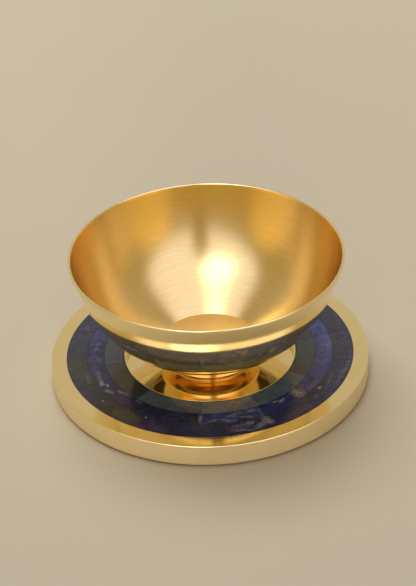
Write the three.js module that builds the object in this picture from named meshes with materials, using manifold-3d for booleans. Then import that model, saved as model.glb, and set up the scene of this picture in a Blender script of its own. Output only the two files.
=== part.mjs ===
// A brass oil lamp on a round tray: a spun bowl on a turned foot, held by one screw from below,
// with three rings of dark polished stone let into the tray's top.
// Millimetres, +Z up. The origin is the centre of the underside, on the surface that the lamp stands on.
import * as THREE from 'three';
import { mergeVertices } from 'three/addons/utils/BufferGeometryUtils.js';
import Module from 'manifold-3d';

const manifold = await Module();
manifold.setup();

// Steps round a full turn, on large pieces and on the screw and washer
const roundSteps = 64;
const smallRoundSteps = 32;

// Corners of a cut piece closer than this are one corner
const weldDistance = 0.0001;

// Tray
const trayRimWidth = 5.4;
const trayFloorThickness = 4.5;
const trayTopRounding = 0.35;
const trayFootRounding = 0.5;
const roundingSteps = 4;
const padLandWidth = 4.6;

// Stone inlay, from the middle outwards: seams are the joints that show, in degrees from +X
// counterclockwise, and unseen is the number of equal tiles behind the bowl
const innerRingWidth = 6.7;
const middleRingWidth = 5.8;
const outerRingWidth = 7.2;
const tileThickness = 2.5;
const bedThickness = 1;
const tileJoint = 0.2;
const inlayRings = [
  { name: 'inner', width: innerRingWidth, seams: [-133.9, -96.3, -64.2, -27.5], unseen: 7 },
  { name: 'middle', width: middleRingWidth, seams: [-157.3, -133.6, -97.2, -65.5, -38.7, -10.2], unseen: 7 },
  { name: 'outer', width: outerRingWidth, seams: [-135.6, -120.4, -106, -84.5, -63.7, -31.5], unseen: 12 },
];

// Thin ring that edges the sunken centre
const collarBoreRadius = 30.5;
const collarWall = 0.6;

// Rubber ring let into the underside, on which the tray stands
const padThickness = 1.2;
const padProud = 0.4;
const padHoleRadius = 9;
const padClearance = 0.3;

// Foot
const footHeight = 5.3;
const footBaseRadius = 14.5;
const footBeadHeight = 0.6;
const footNeckRadius = 11;
const footTopRadius = 17.4;
const footLipHeight = 1.4;
const footCoveSteps = 8;

// Bowl: its outer outline is one curve from the foot to the rim
const bowlBottomRadius = 17.6;
const bowlRimRadius = 48.6;
const bowlRise = 39.2;
const bowlWall = 1;
const bowlFloorThickness = 1.85;
const bowlLowerSlope = 53.3;
const bowlLowerPull = 18.5;
const bowlUpperSlope = 16.5;
const bowlUpperPull = 28.1;
const bowlCurveSteps = 12;
const bowlRimSteps = 4;

// Screw and washer
const shankRadius = 2.35;
const shankClearance = 0.25;
const shankReach = 3;
const shankTip = 0.4;
const tapRunOut = 0.4;
const headRadius = 4.5;
const headHeight = 1.9;
const headRounding = 0.6;
const slotWidth = 1.1;
const slotDepth = 0.9;
const washerRadius = 5.2;
const washerThickness = 0.8;
const counterboreClearance = 0.4;
const counterboreDepth = 2.4;

// Levels, stacked from the surface upwards
const trayUnderside = padProud;
const padSeat = padThickness;
const counterboreTop = padSeat + counterboreDepth;
const trayFloor = trayUnderside + trayFloorThickness;
const tileUnderside = trayFloor + bedThickness;
const trayTop = tileUnderside + tileThickness;
const footTop = trayFloor + footHeight;
const washerUnderside = counterboreTop - washerThickness;
const shankTop = trayFloor + shankReach;
const tapTop = shankTop + tapRunOut;

// Radii, built up from the middle outwards
const collarRadius = collarBoreRadius + collarWall;
const inlayInnerRadius = collarRadius + tileJoint;
let ringStart = inlayInnerRadius;
for (const ring of inlayRings) {
  ring.innerRadius = ringStart;
  ring.outerRadius = ringStart + ring.width;
  ringStart = ring.outerRadius + tileJoint;
}
const channelRadius = ringStart;
const inlayOuterRadius = channelRadius - tileJoint;
const trayRadius = channelRadius + trayRimWidth;
const padSeatRadius = trayRadius - padLandWidth;
const padRadius = padSeatRadius - padClearance;
const holeRadius = shankRadius + shankClearance;
const counterboreRadius = washerRadius + counterboreClearance;

// Finishes
const polishedBrass = { color: 0xe8c877, roughness: 0.12, metalness: 1 };
const satinBrass = { color: 0xc99a45, roughness: 0.3, metalness: 1 };
const steel = { color: 0xb9bcc0, roughness: 0.35, metalness: 1 };
const rubber = { color: 0x202122, roughness: 0.9, metalness: 0 };
const resin = { color: 0x2b2a2c, roughness: 0.5, metalness: 0 };
const stoneTones = {
  inner: [0x3c3e3a, 0x3b3f44, 0x323e46],
  middle: [0x232a40, 0x3a3f63, 0x2c3252, 0x4a4f6e],
  outer: [0x393740, 0x2c2c3c, 0x48443f, 0x33344a, 0x4c4a58],
};
const stoneFinish = { roughness: 0.15, metalness: 0 };

function piece(name, geometry, finish) {
  const mesh = new THREE.Mesh(geometry, new THREE.MeshStandardMaterial(finish));
  mesh.name = name;
  return mesh;
}

// Turns an outline of [radius, height] points about Z. It runs anticlockwise, with the axis on its left,
// and either closes on itself or starts and ends on the axis.
function turned(outline, steps) {
  const points = outline.map(([radius, height]) => new THREE.Vector2(radius, height));
  const geometry = new THREE.LatheGeometry(points, steps);
  geometry.rotateX(Math.PI / 2);
  return geometry;
}

function closed(outline) {
  return [...outline, outline[0]];
}

function arc(centreRadius, centreHeight, size, fromDegrees, toDegrees, steps) {
  const points = [];
  for (let step = 0; step <= steps; step += 1) {
    const angle = THREE.MathUtils.degToRad(fromDegrees + (toDegrees - fromDegrees) * step / steps);
    points.push([centreRadius + size * Math.cos(angle), centreHeight + size * Math.sin(angle)]);
  }
  return points;
}

function ringOutline(innerRadius, outerRadius, underside, top) {
  return closed([
    [innerRadius, underside],
    [outerRadius, underside],
    [outerRadius, top],
    [innerRadius, top],
  ]);
}

function tray() {
  const footCentre = trayRadius - trayFootRounding;
  const topCentre = trayRadius - trayTopRounding;
  return closed([
    [holeRadius, counterboreTop],
    [counterboreRadius, counterboreTop],
    [counterboreRadius, padSeat],
    [padSeatRadius, padSeat],
    [padSeatRadius, trayUnderside],
    ...arc(footCentre, trayUnderside + trayFootRounding, trayFootRounding, -90, 0, roundingSteps),
    ...arc(topCentre, trayTop - trayTopRounding, trayTopRounding, 0, 90, roundingSteps),
    [channelRadius, trayTop],
    [channelRadius, trayFloor],
    [holeRadius, trayFloor],
  ]);
}

// A bead at the base, then a cove that draws in to the neck and flares to a thin lip under the bowl
function foot() {
  const beadSize = footBeadHeight / 2;
  const coveStart = trayFloor + footBeadHeight;
  const coveHeight = footTop - footLipHeight - coveStart;
  const baseEdge = footBaseRadius - beadSize;
  const cove = [];
  const depth = (baseEdge + footTopRadius) / 2 - footNeckRadius;
  for (let step = 1; step <= footCoveSteps; step += 1) {
    const share = step / footCoveSteps;
    const chord = THREE.MathUtils.lerp(baseEdge, footTopRadius, share);
    cove.push([chord - depth * Math.sin(Math.PI * share), coveStart + coveHeight * share]);
  }
  return [
    [0, tapTop],
    [holeRadius, tapTop],
    [holeRadius, trayFloor],
    ...arc(baseEdge, trayFloor + beadSize, beadSize, -90, 90, roundingSteps),
    ...cove,
    [footTopRadius, footTop],
    [0, footTop],
  ];
}

// Points and directions along the bowl's outer outline, from the foot to the rim
function bowlOutside() {
  const lower = THREE.MathUtils.degToRad(bowlLowerSlope);
  const upper = THREE.MathUtils.degToRad(bowlUpperSlope);
  const start = new THREE.Vector2(bowlBottomRadius, footTop);
  const end = new THREE.Vector2(bowlRimRadius, footTop + bowlRise);
  const curve = new THREE.CubicBezierCurve(
    start,
    new THREE.Vector2(Math.sin(lower), Math.cos(lower)).multiplyScalar(bowlLowerPull).add(start),
    new THREE.Vector2(Math.sin(upper), Math.cos(upper)).multiplyScalar(-bowlUpperPull).add(end),
    end,
  );
  const stations = [];
  for (let step = 0; step <= bowlCurveSteps; step += 1) {
    const share = step / bowlCurveSteps;
    stations.push({ point: curve.getPoint(share), along: curve.getTangent(share) });
  }
  return stations;
}

// The inside keeps one wall thickness from the outside, down to a flat seat
function bowl() {
  const stations = bowlOutside();
  const seat = footTop + bowlFloorThickness;
  const outside = stations.map(({ point }) => [point.x, point.y]);
  const inside = stations.map(({ point, along }) => [
    point.x - bowlWall * along.y,
    point.y + bowlWall * along.x,
  ]);
  const rimOuter = outside[outside.length - 1];
  const rimInner = inside[inside.length - 1];
  const rim = arc(
    (rimOuter[0] + rimInner[0]) / 2,
    (rimOuter[1] + rimInner[1]) / 2,
    bowlWall / 2,
    -bowlUpperSlope,
    180 - bowlUpperSlope,
    bowlRimSteps,
  );
  const firstAbove = inside.findIndex(([, height]) => height > seat);
  const above = inside[firstAbove];
  const below = inside[Math.max(firstAbove - 1, 0)];
  const share = firstAbove > 0 ? (seat - below[1]) / (above[1] - below[1]) : 0;
  const seatRadius = THREE.MathUtils.lerp(below[0], above[0], share);
  const wallInside = inside.slice(firstAbove, -1).reverse();
  return [
    [0, footTop],
    ...outside.slice(0, -1),
    ...rim,
    ...wallInside,
    [seatRadius, seat],
    [0, seat],
  ];
}

function screwBlank() {
  const headUnderside = washerUnderside - headHeight;
  const edge = headRadius - headRounding;
  return [
    [0, headUnderside],
    ...arc(edge, headUnderside + headRounding, headRounding, -90, 0, roundingSteps),
    [headRadius, washerUnderside],
    [shankRadius, washerUnderside],
    [shankRadius, shankTop - shankTip],
    [shankRadius - shankTip, shankTop],
    [0, shankTop],
  ];
}

function asSolid(geometry) {
  const bare = geometry.clone();
  bare.deleteAttribute('normal');
  bare.deleteAttribute('uv');
  const merged = mergeVertices(bare, weldDistance);
  const corners = merged.index.array;
  const whole = [];
  for (let first = 0; first < corners.length; first += 3) {
    const [a, b, c] = corners.slice(first, first + 3);
    if (a !== b && b !== c && c !== a) {
      whole.push(a, b, c);
    }
  }
  const mesh = new manifold.Mesh({
    numProp: 3,
    vertProperties: new Float32Array(merged.attributes.position.array),
    triVerts: new Uint32Array(whole),
  });
  return new manifold.Manifold(mesh);
}

function asGeometry(solid) {
  const { vertProperties, triVerts } = solid.getMesh();
  const geometry = new THREE.BufferGeometry();
  geometry.setAttribute('position', new THREE.BufferAttribute(vertProperties, 3));
  geometry.setIndex(new THREE.BufferAttribute(triVerts, 1));
  geometry.computeVertexNormals();
  return geometry;
}

// The driver slot runs right across the head, open on its underside
function slottedScrew() {
  const headUnderside = washerUnderside - headHeight;
  const slot = new THREE.BoxGeometry(4 * headRadius, slotWidth, 2 * slotDepth);
  slot.translate(0, 0, headUnderside);
  const blank = asSolid(turned(screwBlank(), smallRoundSteps));
  return asGeometry(blank.subtract(asSolid(slot)));
}

// All joints of a ring, in degrees, starting and ending at the same one
function ringSeams({ seams, unseen }) {
  const last = seams[seams.length - 1];
  const gap = (seams[0] + 360 - last) / unseen;
  const behind = Array.from({ length: unseen }, (_, index) => last + gap * (index + 1));
  return [...seams, ...behind];
}

function tile({ innerRadius, outerRadius }, fromDegrees, toDegrees) {
  const steps = Math.ceil((toDegrees - fromDegrees) / (360 / roundSteps));
  const side = (radius) => THREE.MathUtils.radToDeg(tileJoint / 2 / radius);
  const outer = arc(0, 0, outerRadius, fromDegrees + side(outerRadius), toDegrees - side(outerRadius), steps);
  const inner = arc(0, 0, innerRadius, toDegrees - side(innerRadius), fromDegrees + side(innerRadius), steps);
  const outline = [...outer, ...inner].map(([x, y]) => new THREE.Vector2(x, y));
  const geometry = new THREE.ExtrudeGeometry(new THREE.Shape(outline), {
    depth: tileThickness,
    bevelEnabled: false,
  });
  geometry.translate(0, 0, tileUnderside);
  return geometry;
}

function tiles(ring) {
  const joints = ringSeams(ring);
  const tones = stoneTones[ring.name];
  const group = new THREE.Group();
  for (let index = 0; index < joints.length - 1; index += 1) {
    const label = String(index + 1).padStart(2, '0');
    const finish = { ...stoneFinish, color: tones[index % tones.length] };
    group.add(piece(`stone_${ring.name}_${label}`, tile(ring, joints[index], joints[index + 1]), finish));
  }
  return group;
}

const lamp = new THREE.Group();
lamp.add(piece('base_tray', turned(tray(), roundSteps), polishedBrass));
lamp.add(piece('base_pad', turned(ringOutline(padHoleRadius, padRadius, 0, padSeat), roundSteps), rubber));
lamp.add(piece(
  'inner_collar',
  turned(ringOutline(collarBoreRadius, collarRadius, trayFloor, trayTop), roundSteps),
  polishedBrass,
));
lamp.add(piece(
  'stone_bed',
  turned(ringOutline(inlayInnerRadius, inlayOuterRadius, trayFloor, tileUnderside), roundSteps),
  resin,
));
for (const ring of inlayRings) {
  lamp.add(tiles(ring));
}
lamp.add(piece('foot', turned(foot(), roundSteps), polishedBrass));
lamp.add(piece('bowl', turned(bowl(), roundSteps), satinBrass));
lamp.add(piece('foot_screw', slottedScrew(), steel));
lamp.add(piece(
  'screw_washer',
  turned(ringOutline(holeRadius, washerRadius, washerUnderside, counterboreTop), smallRoundSteps),
  steel,
));

export default lamp;
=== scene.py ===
import bpy
import math
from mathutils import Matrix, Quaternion, Vector


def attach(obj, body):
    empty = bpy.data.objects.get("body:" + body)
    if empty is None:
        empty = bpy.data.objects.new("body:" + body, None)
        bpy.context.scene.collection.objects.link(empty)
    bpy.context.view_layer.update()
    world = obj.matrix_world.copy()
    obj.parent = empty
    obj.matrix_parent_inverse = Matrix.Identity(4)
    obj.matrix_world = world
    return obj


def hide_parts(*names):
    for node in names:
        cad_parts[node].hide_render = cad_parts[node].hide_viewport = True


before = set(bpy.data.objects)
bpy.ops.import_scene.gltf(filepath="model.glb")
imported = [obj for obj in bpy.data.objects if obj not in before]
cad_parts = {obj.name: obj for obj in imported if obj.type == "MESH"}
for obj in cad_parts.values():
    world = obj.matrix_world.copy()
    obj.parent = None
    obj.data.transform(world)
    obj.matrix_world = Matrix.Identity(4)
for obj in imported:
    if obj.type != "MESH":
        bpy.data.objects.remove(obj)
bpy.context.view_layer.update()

mm = 0.001
creaseAngle = math.radians(30)


# A wire is one output of a node. Sums on wires add Math nodes to the same tree.
class Wire:
    def __init__(self, maker, socket):
        self.maker = maker
        self.socket = socket

    def math(self, operation, *operands):
        inputs = {index: operand for index, operand in enumerate(operands)}
        return self.maker.add("ShaderNodeMath", {"operation": operation}, inputs)

    def __add__(self, other):
        return self.math("ADD", self, other)

    def __radd__(self, other):
        return self.math("ADD", other, self)

    def __sub__(self, other):
        return self.math("SUBTRACT", self, other)

    def __mul__(self, other):
        return self.math("MULTIPLY", self, other)

    def __truediv__(self, other):
        return self.math("DIVIDE", self, other)

    def __mod__(self, other):
        return self.math("MODULO", self, other)

    def __pow__(self, other):
        return self.math("POWER", self, other)

    def __gt__(self, other):
        return self.math("GREATER_THAN", self, other)


# Adds nodes to one tree: its settings first, then the values or wires of its sockets
class NodeMaker:
    def __init__(self, tree):
        self.tree = tree
        self.tree.nodes.clear()

    def node(self, kind, settings=None, inputs=None):
        made = self.tree.nodes.new(kind)
        for name, value in (settings or {}).items():
            setattr(made, name, value)
        for key, value in (inputs or {}).items():
            if isinstance(value, Wire):
                self.tree.links.new(value.socket, made.inputs[key])
            else:
                made.inputs[key].default_value = value
        return made

    def add(self, kind, settings=None, inputs=None, output=0):
        return Wire(self, self.node(kind, settings, inputs).outputs[output])

    def vector(self, operation, *operands, output=0):
        inputs = {index: operand for index, operand in enumerate(operands)}
        return self.add("ShaderNodeVectorMath", {"operation": operation}, inputs, output)

    def mixColour(self, first, second, factor):
        first, second = [c if isinstance(c, Wire) else (*c, 1.0) for c in (first, second)]
        return self.add("ShaderNodeMix", {"data_type": "RGBA"}, {0: factor, 6: first, 7: second}, 2)

    def ramp(self, value, low, high, toLow=0.0, toHigh=1.0):
        settings = {"interpolation_type": "SMOOTHSTEP"}
        inputs = {"Value": value, "From Min": low, "From Max": high, "To Min": toLow, "To Max": toHigh}
        return self.add("ShaderNodeMapRange", settings, inputs)

    def noise(self, place, scale, detail=2.0, roughness=0.5, distortion=0.0):
        inputs = {"Vector": place, "Scale": scale, "Detail": detail, "Roughness": roughness,
                  "Distortion": distortion}
        return self.add("ShaderNodeTexNoise", None, inputs)

    def bump(self, distance, height, under=None):
        inputs = {"Strength": 1.0, "Distance": distance, "Height": height}
        if under is not None:
            inputs["Normal"] = under
        return self.add("ShaderNodeBump", None, inputs)

    def parts(self, vector):
        split = self.node("ShaderNodeSeparateXYZ", None, {0: vector})
        return [Wire(self, output) for output in split.outputs]

    def join(self, x, y, z):
        return self.add("ShaderNodeCombineXYZ", None, {0: x, 1: y, 2: z})

    # Smooth faces, with the edges past the crease angle left sharp
    def softened(self, shape):
        smooth = self.add("GeometryNodeSetShadeSmooth", {"domain": "FACE"}, {"Geometry": shape})
        edgeAngle = self.add("GeometryNodeInputMeshEdgeAngle")
        return self.add("GeometryNodeSetShadeSmooth", {"domain": "EDGE"}, {
            "Geometry": smooth, "Selection": edgeAngle > creaseAngle, "Shade Smooth": False})


# A tree's named input or output, and a modifier's input by its identifier
def addSocket(tree, name, kind, isInput=True):
    return tree.interface.new_socket(name=name, in_out="INPUT" if isInput else "OUTPUT", socket_type=kind)


def setInput(modifier, name, value):
    for item in modifier.node_group.interface.items_tree:
        if item.item_type == "SOCKET" and item.in_out == "INPUT" and item.name == name:
            modifier[item.identifier] = value
            return
    raise KeyError(name)


def frozen(source, name):
    view = bpy.context.evaluated_depsgraph_get()
    mesh = bpy.data.meshes.new_from_object(source.evaluated_get(view), preserve_all_data_layers=True,
                                           depsgraph=view)
    mesh.name = name
    finished = bpy.data.objects.new(name, mesh)
    bpy.context.scene.collection.objects.link(finished)
    bpy.data.objects.remove(source)
    return finished


# Sizes of a CAD node, read from its corners: radii about Z, heights and the angles that it spans
def measured(name):
    places = [corner.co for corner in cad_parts[name].data.vertices]
    radii = [math.hypot(place.x, place.y) for place in places]
    directions = [place.xy / radius for place, radius in zip(places, radii) if radius > 0]
    middle = sum(directions, Vector((0, 0)))
    facing = math.atan2(middle.y, middle.x)
    turns = [(math.atan2(place.y, place.x) - facing + math.pi) % math.tau - math.pi for place in places]
    return {
        "inner": min(radii), "outer": max(radii),
        "low": min(place.z for place in places), "high": max(place.z for place in places),
        "start": facing + min(turns), "end": facing + max(turns),
    }


tray = measured("base_tray")
collar = measured("inner_collar")
bed = measured("stone_bed")
footSize = measured("foot")
bowlSize = measured("bowl")
washer = measured("screw_washer")
outerStone = measured("stone_outer_01")

# Finishes
brassLook = {
    "colour": (0.93, 0.765, 0.40), "worn": (0.90, 0.70, 0.32), "wornAmount": 0.55, "metallic": 0.95,
    "roughness": 0.045, "smudged": 0.05, "scratched": 0.05, "pitted": 0.12,
    "waviness": 0.00003, "turning": 0.000004, "waveScale": 45.0, "cloudScale": 130.0,
    "pitScale": 900.0, "lineScale": 9000.0, "scratchScale": (900.0, 40.0, 300.0),
}


def newMaterial(name):
    material = bpy.data.materials.new(name)
    material.use_nodes = True
    return material, NodeMaker(material.node_tree)


def finishMaterial(maker, inputs):
    shader = maker.node("ShaderNodeBsdfPrincipled", None, inputs)
    output = maker.node("ShaderNodeOutputMaterial")
    maker.tree.links.new(shader.outputs[0], output.inputs["Surface"])
    return shader


# Place, radius, angle and height of the shaded point about the turning axis
def roundPlace(maker):
    place = maker.add("ShaderNodeTexCoord", None, None, "Object")
    x, y, z = maker.parts(place)
    radius = (x * x + y * y) ** 0.5
    angle = x.math("ARCTAN2", y, x)
    return place, radius, angle, z


# Fine lines left by turning, as noise that changes quickly across the cut and slowly round it
def turningLines(maker, across, angle, fine, around, detail=3.0):
    lineX = angle.math("COSINE", angle) * around
    lineY = angle.math("SINE", angle) * around
    return maker.noise(maker.join(lineX, lineY, across * fine), 1.0, detail, 0.6)


def polishedBrass(name, look):
    material, maker = newMaterial(name)
    place, radius, angle, height = roundPlace(maker)
    broad = maker.noise(place, look["waveScale"], 3.0)
    cloud = maker.ramp(maker.noise(place, look["cloudScale"], 4.0, 0.6), 0.45, 0.75)
    lines = turningLines(maker, radius + height, angle, look["lineScale"], 1.2)
    pits = maker.ramp(maker.noise(place, look["pitScale"], 2.0), 0.66, 0.74)
    stretched = maker.vector("MULTIPLY", place, look["scratchScale"])
    scratches = maker.ramp(maker.noise(stretched, 1.0, 4.0), 0.62, 0.7)
    colour = maker.mixColour(look["colour"], look["worn"], cloud * look["wornAmount"])
    roughness = look["roughness"] + cloud * look["smudged"] + scratches * look["scratched"]
    wave = maker.bump(look["waviness"], broad)
    finishMaterial(maker, {
        "Base Color": colour, "Metallic": look["metallic"],
        "Roughness": roughness + pits * look["pitted"], "Normal": maker.bump(look["turning"], lines, wave)})
    return material


satinLook = {
    "colour": (0.81, 0.60, 0.265), "streak": (0.68, 0.47, 0.16), "roughness": 0.235, "spread": 0.05,
    "turning": 0.000004, "anisotropy": 0.5, "streaks": 0.32, "clouds": 0.12, "metallic": 1.0,
    "fineLines": 9500.0, "coarseLines": 1300.0, "cloudScale": 60.0,
}
wallLook = {
    **satinLook,
    "colour": (0.92, 0.75, 0.42), "streak": (0.80, 0.60, 0.30), "roughness": 0.40, "spread": 0.05,
    "turning": 0.000003, "anisotropy": 0.3, "streaks": 0.10, "clouds": 0.35, "metallic": 0.65,
}

# Lays the blur of mirrored light across the turning lines
quarterTurn = 0.25


def satinBrass(name, look):
    material, maker = newMaterial(name)
    place, radius, angle, height = roundPlace(maker)
    along = radius + height
    fine = turningLines(maker, along, angle, look["fineLines"], 2.4, 4.0)
    coarse = turningLines(maker, along, angle, look["coarseLines"], 5.0, 4.0)
    cloud = maker.noise(place, look["cloudScale"], 4.0, 0.6)
    streaks = maker.ramp(coarse, 0.35, 0.7)
    worn = streaks * look["streaks"] + maker.ramp(cloud, 0.4, 0.8) * look["clouds"]
    colour = maker.mixColour(look["colour"], look["streak"], worn)
    roughness = look["roughness"] + (fine - 0.5) * look["spread"] + (cloud - 0.5) * 0.06
    shader = finishMaterial(maker, {
        "Base Color": colour, "Metallic": look["metallic"], "Roughness": roughness,
        "Normal": maker.bump(look["turning"], fine)})
    shader.inputs["Anisotropic"].default_value = look["anisotropy"]
    shader.inputs["Anisotropic Rotation"].default_value = quarterTurn
    return material


# A soft patch of stone: 1 near the given angle and radius, falling to 0, with a torn edge
def patch(maker, radius, angle, torn, blotch):
    turn = (angle - math.radians(blotch["angle"])) * radius / blotch["length"]
    across = (radius - blotch["radius"]) / blotch["width"]
    lean = turn - across * blotch["lean"]
    away = (lean * lean + across * across) ** 0.5
    return maker.ramp(away + (torn - 0.5) * blotch["tear"], 1.3, 0.5)


# How fine each of the stone's patterns is, and how far the grain stands out
stoneScales = {
    "grain": 1500.0, "torn": 420.0, "drift": 150.0, "dark": 300.0, "vein": 210.0, "fleck": 1000.0,
    "ragged": 700.0, "mottle": 950.0, "relief": 0.000012,
}


def stone(name, look):
    scales = stoneScales
    material, maker = newMaterial(name)
    place, radius, angle, unused = roundPlace(maker)
    seed = maker.add("ShaderNodeAttribute", {"attribute_name": "tileSeed"}, None, "Fac")
    tone = maker.add("ShaderNodeAttribute", {"attribute_name": "tileTone"}, None, "Color")
    spread = maker.add("ShaderNodeAttribute", {"attribute_name": "tileCloud"}, None, "Fac")
    shifted = maker.vector("ADD", place, maker.join(seed * 0.37, seed * 0.71, seed * 0.13))
    grain = maker.noise(shifted, scales["grain"], 4.0, 0.65)
    torn = maker.noise(shifted, scales["torn"], 5.0, 0.62, 0.8)
    drift = maker.noise(shifted, scales["drift"], 4.0, 0.55, 1.0)
    cloud = maker.ramp(drift + (torn - 0.5) * 0.5, look["cloudFrom"], look["cloudTo"])
    dark = maker.ramp(maker.noise(shifted, scales["dark"], 4.0, 0.6, 0.6), 0.46, 0.66)
    ridge = maker.noise(shifted, scales["vein"], 3.0, 0.6, 1.6) - 0.5
    vein = ridge.math("ABSOLUTE", ridge)
    specks = maker.noise(shifted, scales["fleck"], 3.0, 0.6)
    fleck = maker.ramp(specks, look["fleckFrom"], look["fleckFrom"] + 0.05)
    colour = maker.mixColour(tone, look["cloud"], cloud * spread)
    colour = maker.mixColour(colour, look["shade"], dark * look["shadeAmount"])
    colour = maker.mixColour(colour, look["veinColour"], maker.ramp(vein, 0.012, 0.002) * look["veins"])
    ragged = maker.noise(shifted, scales["ragged"], 6.0, 0.72, 1.2)
    mottle = maker.ramp(maker.noise(shifted, scales["mottle"], 4.0, 0.65, 0.6), 0.36, 0.60, 0.25, 1.0)
    for blotch in look["patches"]:
        amount = patch(maker, radius, angle, ragged, blotch) * mottle * blotch["amount"]
        colour = maker.mixColour(colour, blotch["colour"], amount)
    colour = maker.mixColour(colour, look["fleck"], fleck * look["fleckAmount"])
    colour = maker.mixColour(colour, (0.0, 0.0, 0.0), maker.ramp(grain, 0.45, 0.75) * 0.35)
    roughness = look["roughness"] + maker.ramp(grain, 0.55, 0.8) * 0.15 + fleck * 0.2
    shader = finishMaterial(maker, {
        "Base Color": colour, "Roughness": roughness, "Normal": maker.bump(scales["relief"], grain)})
    shader.inputs["IOR"].default_value = look["ior"]
    return material


def plainFinish(name, first, second, scale, roughness, metallic=0.0, bumpDistance=0.00002):
    material, maker = newMaterial(name)
    place = maker.add("ShaderNodeTexCoord", None, None, "Object")
    grain = maker.noise(place, scale, 4.0, 0.6)
    colour = maker.mixColour(first, second, maker.ramp(grain, 0.35, 0.7))
    finishMaterial(maker, {
        "Base Color": colour, "Metallic": metallic, "Roughness": roughness + (grain - 0.5) * 0.2,
        "Normal": maker.bump(bumpDistance, grain)})
    return material


trayBrass = polishedBrass("trayBrass", brassLook)
bowlBrass = polishedBrass("bowlBrass", {**brassLook, "waviness": 0.00002, "metallic": 0.96})
footBrass = polishedBrass("footBrass", {**brassLook, "colour": (0.97, 0.68, 0.24), "turning": 0.00001,
                                        "metallic": 0.9})
bowlSatin = satinBrass("bowlSatin", satinLook)
traySatin = satinBrass("traySatin", wallLook)
# Angles run counterclockwise from +X in degrees. Length is along the ring, width across it.
paleStone = (0.42, 0.41, 0.44)
chalk = (0.62, 0.58, 0.50)
brownStone = (0.085, 0.062, 0.035)
lilacStone = (0.20, 0.17, 0.30)
blueStone = (0.035, 0.055, 0.26)
brightStone = (0.035, 0.085, 0.42)


def spot(angle, radius, length, width, colour, amount, lean=0.0, tear=4.0):
    return {
        "angle": angle, "radius": radius * mm, "length": length * mm, "width": width * mm,
        "colour": colour, "amount": amount, "lean": lean, "tear": tear,
    }


outerPatches = [
    spot(-172, 48.5, 8.0, 3.0, brownStone, 0.5),
    spot(-161, 46.0, 3.0, 0.9, (0.16, 0.16, 0.14), 0.5, 0.6),
    spot(-131, 48.2, 4.4, 2.8, (0.078, 0.066, 0.042), 1.0, 0.0, 2.5),
    spot(-124, 47.0, 2.2, 1.6, (0.10, 0.09, 0.07), 0.7),
    spot(-113, 48.5, 3.4, 2.4, (0.10, 0.08, 0.18), 0.9, 0.7),
    spot(-82.5, 48.0, 1.5, 3.6, brownStone, 1.0, 1.6, 1.6),
    spot(-78, 47.6, 4.2, 2.6, (0.15, 0.13, 0.28), 0.9, -0.9, 2.5),
    spot(-79, 46.4, 3.0, 1.2, lilacStone, 1.0, -0.9),
    spot(-77, 49.6, 2.8, 1.2, (0.32, 0.31, 0.38), 0.9, 1.2),
    spot(-74, 46.0, 1.6, 0.9, paleStone, 0.9),
    spot(-69.5, 48.4, 2.6, 2.0, (0.34, 0.33, 0.40), 0.9, -1.0, 3.0),
    spot(-66.4, 47.0, 1.8, 2.8, paleStone, 0.9, 0.5, 2.5),
    spot(-58, 48.0, 4.5, 2.0, (0.06, 0.05, 0.19), 0.8, 0.6),
    spot(-49, 49.0, 4.0, 1.4, (0.12, 0.10, 0.24), 0.8, 0.8),
    spot(-40, 47.5, 1.0, 0.5, paleStone, 0.6),
    spot(-27.5, 46.8, 2.4, 0.8, (0.26, 0.24, 0.34), 0.8, -1.8),
    spot(-24, 49.4, 3.2, 0.8, lilacStone, 0.8, -1.6),
    spot(-16, 50.2, 6.0, 0.7, (0.24, 0.24, 0.30), 0.6, 0.6),
    spot(-143.6, 47.4, 0.45, 0.4, chalk, 0.95, 0.0, 1.0),
    spot(-120.7, 45.2, 0.5, 0.5, chalk, 0.95, 0.0, 1.0),
    spot(-33.8, 45.7, 0.8, 0.6, chalk, 1.0, 0.0, 1.0),
]
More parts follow.
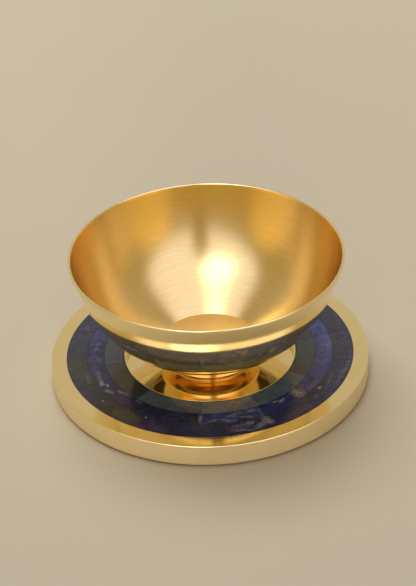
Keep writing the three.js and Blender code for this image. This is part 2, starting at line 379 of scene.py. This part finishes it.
middlePatches = [
    spot(172, 41.0, 2.2, 1.0, chalk, 0.14, 0.8),
    spot(-176, 40.0, 1.6, 1.2, chalk, 0.16, -0.6),
    spot(-163, 41.8, 2.4, 0.9, chalk, 0.25, 0.7),
    spot(-156, 42.6, 1.8, 1.1, (0.38, 0.38, 0.34), 0.9, 0.5, 2.5),
    spot(-152.5, 41.4, 0.9, 0.6, chalk, 0.7),
    spot(-148, 42.6, 1.4, 1.2, (0.36, 0.37, 0.30), 0.9, -0.7, 2.5),
    spot(-144, 39.6, 1.4, 0.6, paleStone, 0.5),
    spot(-140, 38.8, 1.8, 0.5, paleStone, 0.6),
    spot(-131, 39.0, 1.2, 0.4, paleStone, 0.5),
    spot(-95.8, 40.8, 0.7, 3.0, paleStone, 0.75, 0.0, 1.6),
    spot(-92, 40.6, 2.2, 2.2, brightStone, 1.0, 0.8),
    spot(-90, 42.4, 1.6, 1.0, (0.36, 0.38, 0.36), 0.8, -0.8),
    spot(-88, 39.6, 1.4, 0.9, paleStone, 0.6, 0.6),
    spot(-85, 40.8, 2.4, 2.2, brightStone, 1.0, 1.0),
    spot(-83.5, 42.6, 1.5, 1.1, paleStone, 0.8, 0.9),
    spot(-81, 40.0, 1.6, 0.9, (0.34, 0.36, 0.36), 0.8, -1.0),
    spot(-77, 41.6, 2.6, 1.8, brightStone, 1.0, -0.7),
    spot(-75.5, 39.6, 1.4, 0.9, (0.24, 0.24, 0.14), 0.8, 0.4),
    spot(-73, 42.6, 1.8, 1.0, (0.34, 0.34, 0.28), 0.9, 0.8),
    spot(-70, 39.8, 1.6, 1.2, (0.40, 0.40, 0.40), 0.8, 0.7),
    spot(-67.5, 41.8, 1.8, 1.6, brightStone, 1.0, 0.5),
    spot(-60, 41.5, 5.0, 2.2, blueStone, 0.9, 0.4),
    spot(-56, 39.4, 1.7, 0.6, paleStone, 0.9, 0.8),
    spot(-52.5, 40.2, 1.1, 0.8, chalk, 0.8, -0.8),
    spot(-42.6, 40.9, 2.7, 3.4, (0.40, 0.39, 0.36), 0.95, 0.0, 1.6),
    spot(-33, 41.0, 2.0, 1.6, brownStone, 0.5),
]
ringLooks = {
    "outer": {"cloud": (0.11, 0.095, 0.17), "cloudFrom": 0.50, "cloudTo": 0.78,
              "shade": (0.008, 0.008, 0.018), "shadeAmount": 0.4, "fleck": (0.45, 0.42, 0.45),
              "fleckFrom": 0.69, "fleckAmount": 0.4, "roughness": 0.12, "ior": 1.5,
              "veinColour": (0.16, 0.15, 0.22), "veins": 0.10, "patches": outerPatches},
    "middle": {"cloud": (0.20, 0.22, 0.42), "cloudFrom": 0.46, "cloudTo": 0.70,
               "shade": (0.006, 0.007, 0.03), "shadeAmount": 0.6, "fleck": (0.62, 0.60, 0.60),
               "fleckFrom": 0.69, "fleckAmount": 0.45, "roughness": 0.12, "ior": 1.5,
               "veinColour": (0.40, 0.40, 0.42), "veins": 0.12, "patches": middlePatches},
    "inner": {"cloud": (0.075, 0.085, 0.095), "cloudFrom": 0.45, "cloudTo": 0.8,
              "shade": (0.020, 0.026, 0.032), "shadeAmount": 0.25, "fleck": (0.2, 0.2, 0.2),
              "fleckFrom": 0.76, "fleckAmount": 0.3, "roughness": 0.08, "ior": 1.65,
              "veinColour": (0.09, 0.10, 0.11), "veins": 0.3, "patches": []},
}
resin = plainFinish("resin", (0.010, 0.010, 0.012), (0.03, 0.028, 0.026), 700.0, 0.35)
steel = plainFinish("steel", (0.52, 0.52, 0.54), (0.38, 0.38, 0.40), 900.0, 0.35, 1.0)
rubber = plainFinish("rubber", (0.012, 0.012, 0.012), (0.028, 0.027, 0.026), 1500.0, 0.75, 0.0, 0.00006)
print("finishes made")


# Turned pieces. The tree takes an outline of corners, radius along X, and turns it about Z. The lining is
# the finish of the faces between marked corners, whose mark stays at 1 when it is averaged over a face.
def turningTree():
    tree = bpy.data.node_groups.new("turnedPiece", "GeometryNodeTree")
    addSocket(tree, "Outline", "NodeSocketGeometry")
    addSocket(tree, "Steps", "NodeSocketInt")
    addSocket(tree, "Finish", "NodeSocketMaterial")
    addSocket(tree, "Lining", "NodeSocketMaterial")
    addSocket(tree, "Piece", "NodeSocketGeometry", False)
    maker = NodeMaker(tree)
    given = maker.node("NodeGroupInput")
    outline = Wire(maker, given.outputs["Outline"])
    steps = Wire(maker, given.outputs["Steps"])
    count = maker.add("GeometryNodeAttributeDomainSize", {"component": "MESH"}, {0: outline}, "Point Count")
    grid = maker.add("GeometryNodeMeshGrid", None, {"Vertices X": steps + 1.0, "Vertices Y": count})
    index = maker.add("GeometryNodeInputIndex")
    station = index % count
    turn = ((index - station) / count) / steps * math.tau
    position = maker.add("GeometryNodeInputPosition")
    corner = maker.add("GeometryNodeSampleIndex", {"data_type": "FLOAT_VECTOR"},
                       {"Geometry": outline, "Value": position, "Index": station})
    isLining = maker.add("GeometryNodeInputNamedAttribute", {"data_type": "FLOAT"}, {"Name": "lining"})
    lining = maker.add("GeometryNodeSampleIndex", {"data_type": "FLOAT"},
                       {"Geometry": outline, "Value": isLining, "Index": station})
    radius, unused, height = maker.parts(corner)
    place = maker.join(radius * turn.math("COSINE", turn), radius * turn.math("SINE", turn), height)
    marked = maker.add("GeometryNodeStoreNamedAttribute", {"data_type": "FLOAT"},
                       {"Geometry": grid, "Name": "lining", "Value": lining})
    bent = maker.add("GeometryNodeSetPosition", None, {"Geometry": marked, "Position": place})
    closed = maker.add("GeometryNodeMergeByDistance", None, {"Geometry": bent, "Distance": 0.0000005})
    whole = maker.add("GeometryNodeRealizeInstances", None, {0: maker.softened(closed)})
    covered = maker.add("GeometryNodeSetMaterial", None,
                        {"Geometry": whole, "Material": Wire(maker, given.outputs["Finish"])})
    isInside = maker.add("GeometryNodeInputNamedAttribute", {"data_type": "FLOAT"}, {"Name": "lining"})
    liningFinish = Wire(maker, given.outputs["Lining"])
    lined = maker.add("GeometryNodeSetMaterial", None, {
        "Geometry": covered, "Selection": isInside > 0.75, "Material": liningFinish})
    maker.node("NodeGroupOutput", None, {"Piece": lined})
    return tree


turnTree = turningTree()


def arcPoints(centre, size, fromDegrees, toDegrees, steps):
    stepDegrees = (toDegrees - fromDegrees) / steps
    angles = [math.radians(fromDegrees + stepDegrees * step) for step in range(steps + 1)]
    return [(centre[0] + size * math.cos(angle), centre[1] + size * math.sin(angle)) for angle in angles]


# Extra corners close to both ends of each long straight, so that its reflections stay flat
def heldStraights(outline, hold=0.05 * mm):
    held = [outline[0]]
    for first, last in zip(outline, outline[1:]):
        start, end = Vector(first), Vector(last)
        length = (end - start).length
        if length > 6 * hold:
            held.append(tuple(start.lerp(end, hold / length)))
            held.append(tuple(start.lerp(end, 1 - hold / length)))
        held.append(last)
    return held


def turnedPiece(name, outline, finish, lining=None, lined=(), steps=256):
    mesh = bpy.data.meshes.new(name + "Outline")
    edges = [(index, index + 1) for index in range(len(outline) - 1)]
    mesh.from_pydata([(radius, 0.0, height) for radius, height in outline], edges, [])
    marks = mesh.attributes.new("lining", "FLOAT", "POINT")
    for index, mark in enumerate(marks.data):
        mark.value = 1.0 if index in lined else 0.0
    source = bpy.data.objects.new(name + "Outline", mesh)
    bpy.context.scene.collection.objects.link(source)
    modifier = source.modifiers.new("turning", "NODES")
    modifier.node_group = turnTree
    setInput(modifier, "Steps", steps)
    setInput(modifier, "Finish", finish)
    setInput(modifier, "Lining", lining or finish)
    return frozen(source, name)


# Tray: a thick disc with a rounded rim, a channel for the stone and a sunken centre. Buffing has made
# the top of the rim fall a little outwards.
trayShape = {
    "topRounding": 0.35 * mm, "footRounding": 0.5 * mm, "channelBreak": 0.10 * mm,
    "counterboreRadius": 5.6 * mm, "recessRadius": 52.4 * mm, "recessTop": 1.2 * mm,
    "joint": 0.2 * mm, "roundingSteps": 10, "breakSteps": 4, "outerDrop": 0.22 * mm,
}


def trayOutline(shape):
    steps = shape["roundingSteps"]
    channel = outerStone["outer"] + shape["joint"]
    top, low, outer = tray["high"], tray["low"], tray["outer"]
    floor = bed["low"]
    bore = tray["inner"]
    counterTop = washer["high"]
    topRound, footRound, edge = shape["topRounding"], shape["footRounding"], shape["channelBreak"]
    crest = top - shape["outerDrop"]
    outline = [
        (bore, counterTop),
        (shape["counterboreRadius"], counterTop),
        (shape["counterboreRadius"], shape["recessTop"]),
        (shape["recessRadius"], shape["recessTop"]),
        (shape["recessRadius"], low),
        *arcPoints((outer - footRound, low + footRound), footRound, -90, 0, steps),
        *arcPoints((outer - topRound, crest - topRound), topRound, 0, 90, steps),
        *arcPoints((channel + edge, top - edge), edge, 90, 180, shape["breakSteps"]),
        (channel, floor),
        (bore, floor),
        (bore, counterTop),
    ]
    held = heldStraights(outline)
    wall = [index for index, (radius, height) in enumerate(held)
            if radius > outer - footRound and height < crest - topRound + 0.01 * mm]
    return held, wall


trayPoints, trayWall = trayOutline(trayShape)
trayBody = turnedPiece("trayBody", trayPoints, trayBrass, traySatin, trayWall)
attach(trayBody, "root")
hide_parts("base_tray")

collarShape = {"edge": 0.12 * mm, "edgeSteps": 4, "joint": 0.25 * mm}


def collarOutline(shape):
    edge, steps = shape["edge"], shape["edgeSteps"]
    inner, outer = collar["inner"], collar["outer"] - shape["joint"]
    low, high = collar["low"], collar["high"]
    outline = [
        (inner, low), (outer, low),
        *arcPoints((outer - edge, high - edge), edge, 0, 90, steps),
        *arcPoints((inner + edge, high - edge), edge, 90, 180, steps),
        (inner, low),
    ]
    return heldStraights(outline)


collarRing = turnedPiece("collarRing", collarOutline(collarShape), trayBrass)
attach(collarRing, "root")
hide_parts("inner_collar")
print("tray and collar turned")

# Foot: a bead at the base and a cove up to the lip under the bowl
footShape = {
    "baseRadius": 14.5 * mm, "beadHeight": 0.6 * mm, "neckRadius": 11.0 * mm, "lipHeight": 1.4 * mm,
    "beadSteps": 10, "coveSteps": 40, "tapRadius": 2.6 * mm, "tapTop": 8.3 * mm,
}


def footOutline(shape):
    low, high, top = footSize["low"], footSize["high"], footSize["outer"]
    bead = shape["beadHeight"] / 2
    edge = shape["baseRadius"] - bead
    start = low + shape["beadHeight"]
    rise = high - shape["lipHeight"] - start
    depth = (edge + top) / 2 - shape["neckRadius"]
    cove = []
    for step in range(1, shape["coveSteps"] + 1):
        share = step / shape["coveSteps"]
        chord = edge + (top - edge) * share
        cove.append((chord - depth * math.sin(math.pi * share), start + rise * share))
    outline = [
        (0.0, shape["tapTop"]), (shape["tapRadius"], shape["tapTop"]), (shape["tapRadius"], low),
        *arcPoints((edge, low + bead), bead, -90, 90, shape["beadSteps"]),
        *cove,
        (top, high), (0.0, high),
    ]
    return heldStraights(outline)


footBody = turnedPiece("footBody", footOutline(footShape), footBrass)
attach(footBody, "root")
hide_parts("foot")

# Bowl: one curve outside, the same wall all the way, a rounded rim and a flat seat
bowlShape = {
    "bottomRadius": 17.6 * mm, "rimRadius": 48.6 * mm, "rise": 39.17 * mm, "wall": 1.0 * mm,
    "floorThickness": 1.85 * mm, "lowerSlope": 53.3, "lowerPull": 18.5 * mm,
    "upperSlope": 16.5, "upperPull": 28.1 * mm, "curveSteps": 80, "rimSteps": 12,
}


def bezierStations(start, startPull, end, endPull, steps):
    stations = []
    controls = [start, start + startPull, end - endPull, end]
    for step in range(steps + 1):
        t = step / steps
        u = 1 - t
        weights = (u ** 3, 3 * u * u * t, 3 * u * t * t, t ** 3)
        place = sum((weight * control for weight, control in zip(weights, controls)), Vector((0, 0)))
        slopes = (3 * u * u, 6 * u * t, 3 * t * t)
        legs = [last - first for first, last in zip(controls, controls[1:])]
        along = sum((slope * leg for slope, leg in zip(slopes, legs)), Vector((0, 0)))
        stations.append((place, along.normalized()))
    return stations


def bowlOutline(shape):
    low = bowlSize["low"]
    lower, upper = math.radians(shape["lowerSlope"]), math.radians(shape["upperSlope"])
    start = Vector((shape["bottomRadius"], low))
    end = Vector((shape["rimRadius"], low + shape["rise"]))
    startPull = Vector((math.sin(lower), math.cos(lower))) * shape["lowerPull"]
    endPull = Vector((math.sin(upper), math.cos(upper))) * shape["upperPull"]
    stations = bezierStations(start, startPull, end, endPull, shape["curveSteps"])
    wall = shape["wall"]
    outside = [tuple(place) for place, along in stations]
    inside = [(place.x - wall * along.y, place.y + wall * along.x) for place, along in stations]
    seat = low + shape["floorThickness"]
    middle = ((outside[-1][0] + inside[-1][0]) / 2, (outside[-1][1] + inside[-1][1]) / 2)
    slope = shape["upperSlope"]
    rim = arcPoints(middle, wall / 2, -slope, 180 - slope, shape["rimSteps"])
    wallInside = [point for point in inside[:-1] if point[1] > seat][::-1]
    below = [point for point in inside if point[1] <= seat][-1]
    share = (seat - below[1]) / (wallInside[-1][1] - below[1])
    seatRadius = below[0] + (wallInside[-1][0] - below[0]) * share
    outline = [(0.0, low), *outside[:-1], *rim]
    liningFrom = len(outline) - 1
    held = heldStraights([(seatRadius, seat), (0.0, seat)])
    whole = outline + wallInside + held
    return whole, range(liningFrom, len(whole))


bowlPoints, bowlInside = bowlOutline(bowlShape)
bowlShell = turnedPiece("bowlShell", bowlPoints, bowlBrass, bowlSatin, bowlInside)
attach(bowlShell, "root")
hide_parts("bowl")
print("foot and bowl turned")


# Stone inlay. The tree bends one slab for each point it is given, between that point's two angles.
def inlayTree():
    tree = bpy.data.node_groups.new("inlayRing", "GeometryNodeTree")
    addSocket(tree, "Tiles", "NodeSocketGeometry")
    for name in ("Inner Radius", "Outer Radius", "Underside", "Top"):
        addSocket(tree, name, "NodeSocketFloat")
    addSocket(tree, "Steps", "NodeSocketInt")
    addSocket(tree, "Finish", "NodeSocketMaterial")
    addSocket(tree, "Ring", "NodeSocketGeometry", False)
    maker = NodeMaker(tree)
    given = maker.node("NodeGroupInput")
    wire = {output.name: Wire(maker, output) for output in given.outputs if output.name}
    slab = maker.add("GeometryNodeMeshCube", None, {"Size": (1, 1, 1), "Vertices X": 3,
                                                    "Vertices Y": wire["Steps"], "Vertices Z": 2})
    position = maker.add("GeometryNodeInputPosition")
    marked = maker.add("GeometryNodeStoreNamedAttribute", {"data_type": "FLOAT_VECTOR"},
                       {"Geometry": slab, "Name": "unit", "Value": position})
    placed = maker.add("GeometryNodeInstanceOnPoints", None, {"Points": wire["Tiles"], "Instance": marked})
    whole = maker.add("GeometryNodeRealizeInstances", None, {0: placed})

    def named(name, kind="FLOAT"):
        return maker.add("GeometryNodeInputNamedAttribute", {"data_type": kind}, {"Name": name})

    across, along, up = [part + 0.5 for part in maker.parts(named("unit", "FLOAT_VECTOR"))]
    radius = wire["Inner Radius"] + (wire["Outer Radius"] - wire["Inner Radius"]) * across
    first, last = named("startAngle"), named("endAngle")
    angle = first + (last - first) * along
    height = wire["Underside"] + (wire["Top"] - wire["Underside"]) * up
    place = maker.join(radius * angle.math("COSINE", angle), radius * angle.math("SINE", angle), height)
    bent = maker.add("GeometryNodeSetPosition", None, {"Geometry": whole, "Position": place})
    covered = maker.add("GeometryNodeSetMaterial", None, {
        "Geometry": maker.softened(bent), "Material": wire["Finish"]})
    maker.node("NodeGroupOutput", None, {"Ring": covered})
    return tree


ringTree = inlayTree()


def slabRing(name, slabs, sizes, steps, finish):
    mesh = bpy.data.meshes.new(name + "Points")
    mesh.from_pydata([(0.0, 0.0, 0.0)] * len(slabs), [], [])
    for key in ("startAngle", "endAngle", "tileSeed", "tileCloud"):
        values = mesh.attributes.new(key, "FLOAT", "POINT")
        for entry, slab in zip(values.data, slabs):
            entry.value = slab[key]
    tones = mesh.attributes.new("tileTone", "FLOAT_COLOR", "POINT")
    for entry, slab in zip(tones.data, slabs):
        entry.color = (*slab["tileTone"], 1.0)
    source = bpy.data.objects.new(name + "Points", mesh)
    bpy.context.scene.collection.objects.link(source)
    modifier = source.modifiers.new("inlay", "NODES")
    modifier.node_group = ringTree
    for key, value in sizes.items():
        setInput(modifier, key, value)
    setInput(modifier, "Steps", steps)
    setInput(modifier, "Finish", finish)
    return frozen(source, name)


# Colour of each tile and how cloudy it is, in the order of the tiles. The inner ring repeats its
# colours, and its last entry is for its last tile. The inner ring's first three tones are lighter as
# painted
# light on the front tiles: painted fill where the bowl shades them, and a painted warm reflection of the
# bowl.
tileTonesWithPaintedLight = {
    # Painted light: the first three inner tones are lightened as painted fill and a painted reflection of
    # the bowl
    "inner": [((0.110, 0.170, 0.235), 0.2), ((0.210, 0.260, 0.330), 0.2), ((0.130, 0.200, 0.280), 0.2),
              ((0.060, 0.084, 0.118), 0.3), ((0.042, 0.050, 0.052), 0.3)],
    "middle": [((0.026, 0.026, 0.130), 0.10), ((0.020, 0.026, 0.100), 0.10), ((0.030, 0.050, 0.200), 0.8),
               ((0.030, 0.046, 0.280), 0.6), ((0.085, 0.090, 0.440), 0.6), ((0.095, 0.110, 0.450), 0.6),
               ((0.085, 0.100, 0.400), 0.5), ((0.040, 0.045, 0.200), 0.3), ((0.030, 0.040, 0.180), 0.3),
               ((0.050, 0.055, 0.220), 0.3), ((0.040, 0.042, 0.160), 0.15), ((0.026, 0.030, 0.110), 0.15)],
    "outer": [((0.034, 0.036, 0.070), 0.3), ((0.044, 0.040, 0.125), 0.5), ((0.040, 0.044, 0.135), 0.3),
              ((0.044, 0.048, 0.150), 0.8), ((0.032, 0.040, 0.165), 0.6), ((0.050, 0.052, 0.140), 0.7),
              ((0.055, 0.055, 0.120), 0.6), ((0.040, 0.042, 0.085), 0.5), ((0.032, 0.034, 0.070), 0.4),
              ((0.044, 0.044, 0.100), 0.4), ((0.034, 0.036, 0.080), 0.4), ((0.046, 0.044, 0.110), 0.4),
              ((0.034, 0.036, 0.075), 0.4), ((0.040, 0.040, 0.090), 0.4), ((0.040, 0.041, 0.072), 0.3),
              ((0.042, 0.042, 0.046), 0.3), ((0.030, 0.033, 0.048), 0.3)],
}

# Corners along each tile
tileSteps = 25


def tileNodes(ring):
    return sorted(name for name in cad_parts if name.startswith("stone_" + ring + "_"))


def inlayRing(ring):
    names = tileNodes(ring)
    sizes = [measured(name) for name in names]
    inner, outer = min(size["inner"] for size in sizes), max(size["outer"] for size in sizes)
    slabs = []
    for index, size in enumerate(sizes):
        tones = tileTonesWithPaintedLight[ring]
        tone, cloud = tones[-1] if index == len(sizes) - 1 else tones[index % len(tones)]
        slabs.append({"startAngle": size["start"], "endAngle": size["end"], "tileSeed": index + 1.0,
                      "tileTone": tone, "tileCloud": cloud})
    values = {"Inner Radius": inner, "Outer Radius": outer, "Underside": sizes[0]["low"],
              "Top": sizes[0]["high"]}
    name = "stone" + ring.capitalize()
    piece = slabRing(name + "Ring", slabs, values, tileSteps, stone(name, ringLooks[ring]))
    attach(piece, "root")
    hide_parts(*names)
    return piece


for ring in ("inner", "middle", "outer"):
    inlayRing(ring)

# The resin bed shows in the joints between the tiles
bedShape = {"below": 0.06 * mm}


def resinBed(shape):
    top = outerStone["high"] - shape["below"]
    inner = collar["outer"] - collarShape["joint"]
    outer = outerStone["outer"] + trayShape["joint"]
    outline = [(inner, bed["low"]), (outer, bed["low"]), (outer, top), (inner, top), (inner, bed["low"])]
    return turnedPiece("resinFill", heldStraights(outline), resin)


resinFill = resinBed(bedShape)
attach(resinFill, "root")
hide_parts("stone_bed")
print("inlay laid")

for name, finish in (("foot_screw", steel), ("screw_washer", steel), ("base_pad", rubber)):
    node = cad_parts[name]
    node.data.materials.clear()
    node.data.materials.append(finish)

# Floor and light
floorLook = {"colour": (0.62, 0.54, 0.41), "size": 3.0}


def studioFloor(look):
    size = look["size"]
    mesh = bpy.data.meshes.new("floor")
    corners = [(-size, -size, 0), (size, -size, 0), (size, size, 0), (-size, size, 0)]
    mesh.from_pydata(corners, [], [(0, 1, 2, 3)])
    floor = bpy.data.objects.new("floor", mesh)
    bpy.context.scene.collection.objects.link(floor)
    material, maker = newMaterial("floorPaper")
    place = maker.add("ShaderNodeTexCoord", None, None, "Object")
    mottle = maker.noise(place, 6.0, 3.0)
    colour = maker.mixColour(look["colour"], tuple(0.94 * part for part in look["colour"]), mottle)
    finishMaterial(maker, {"Base Color": colour, "Roughness": 0.6})
    mesh.materials.append(material)


studioFloor(floorLook)

# The lights fall on the object and the floor but are not mirrored: the brass mirrors only the room
lights = {
    "behind": {"place": (-0.18, 0.50, 1.15), "size": 0.9, "power": 13.0, "colour": (1.0, 0.98, 0.95)},
    "front": {"place": (-0.08, -1.40, 0.14), "size": 0.5, "power": 11.0, "colour": (1.0, 0.97, 0.91)},
}
lightsAim = Vector((0, 0, 0.03))
for name, look in lights.items():
    light = bpy.data.lights.new(name, "AREA")
    light.size = look["size"]
    light.energy = look["power"]
    light.color = look["colour"]
    holder = bpy.data.objects.new(name, light)
    holder.visible_glossy = False
    holder.location = look["place"]
    holder.rotation_mode = "QUATERNION"
    holder.rotation_quaternion = (lightsAim - Vector(look["place"])).to_track_quat("-Z", "Y")
    bpy.context.scene.collection.objects.link(holder)

# The room as the brass mirrors it: paper rises behind the object, a round softbox with a hotter middle
# hangs over the camera, two warm screens stand low at the sides, and whoever takes the picture is a darker
# shape beside the lens. Everything else is lit by an even fill.
room = {
    "low": (0.64, 0.40, 0.02), "lowTo": 0.35, "frontFrom": 0.1, "frontTo": -0.5,
    "sides": (0.50, 0.41, 0.21), "back": (0.58, 0.51, 0.41), "fill": (0.19, 0.18, 0.155),
    "backFrom": -0.1, "backTo": 0.6,
    "box": (1.28, 1.27, 1.55), "boxAt": (0.06, -0.40, 0.915), "boxEdge": 51.0, "boxFull": 37.0,
    "glow": (1.22, 0.84, 0.23), "glowEdge": 26.0, "glowFull": 6.0,
    "glowsAt": ((0.74, -0.66, 0.11), (-0.85, -0.50, 0.11)),
    "core": (3.9, 3.9, 4.2), "coreAt": (-0.16, -0.42, 0.893), "coreEdge": 18.0, "coreFull": 6.0,
    "person": (0.42, 0.31, 0.12), "personAt": (0.075, 0.50), "personSize": (0.12, 0.32),
}


def studioWorld(look):
    world = bpy.data.worlds.new("studio")
    world.use_nodes = True
    maker = NodeMaker(world.node_tree)
    place = maker.add("ShaderNodeTexCoord", None, None, "Generated")
    x, y, z = maker.parts(place)

    def disc(at, edge, full):
        near = maker.vector("DOT_PRODUCT", place, at, output="Value")
        return maker.ramp(near, math.cos(math.radians(edge)), math.cos(math.radians(full)))

    plain = maker.mixColour(look["sides"], look["back"], maker.ramp(y, look["backFrom"], look["backTo"]))
    low = maker.ramp(z, look["lowTo"], 0.0) * maker.ramp(y, look["frontFrom"], look["frontTo"])
    mirrored = maker.mixColour(plain, look["low"], low)
    for at in look["glowsAt"]:
        mirrored = maker.mixColour(mirrored, look["glow"], disc(at, look["glowEdge"], look["glowFull"]))
    box = disc(look["boxAt"], look["boxEdge"], look["boxFull"])
    core = disc(look["coreAt"], look["coreEdge"], look["coreFull"])
    mirrored = maker.mixColour(mirrored, look["box"], box)
    mirrored = maker.mixColour(mirrored, look["core"], core)
    side = (x - look["personAt"][0]) / look["personSize"][0]
    rise = (z - look["personAt"][1]) / look["personSize"][1]
    away = (side * side + rise * rise) ** 0.5
    shape = maker.ramp(away, 1.3, 0.6) * maker.ramp(y, 0.0, -0.3)
    mirrored = maker.mixColour(mirrored, look["person"], shape)
    rays = maker.node("ShaderNodeLightPath")
    isMirrored = Wire(maker, rays.outputs["Is Glossy Ray"])
    colour = maker.mixColour(look["fill"], mirrored, isMirrored)
    shine = maker.add("ShaderNodeBackground", None, {"Color": colour, "Strength": 1.0})
    maker.node("ShaderNodeOutputWorld", None, {"Surface": shine})
    bpy.context.scene.world = world


studioWorld(room)

# Camera at the photograph's angle
viewpoint = {
    "place": (0.0, -0.6806, 0.4819), "aim": (0.00015, 0.0, 0.03335), "roll": -2.317, "lens": 141.3,
    "nearest": 0.01,
}
camera = bpy.data.cameras.new("camera")
camera.lens = viewpoint["lens"]
camera.clip_start = viewpoint["nearest"]
cameraHolder = bpy.data.objects.new("camera", camera)
cameraHolder.location = viewpoint["place"]
cameraHolder.rotation_mode = "QUATERNION"
aim = (Vector(viewpoint["aim"]) - Vector(viewpoint["place"])).to_track_quat("-Z", "Y")
cameraHolder.rotation_quaternion = aim @ Quaternion((0, 0, 1), math.radians(viewpoint["roll"]))
bpy.context.scene.collection.objects.link(cameraHolder)
bpy.context.scene.camera = cameraHolder
bpy.context.scene.view_settings.view_transform = "Standard"

print("scene ready")
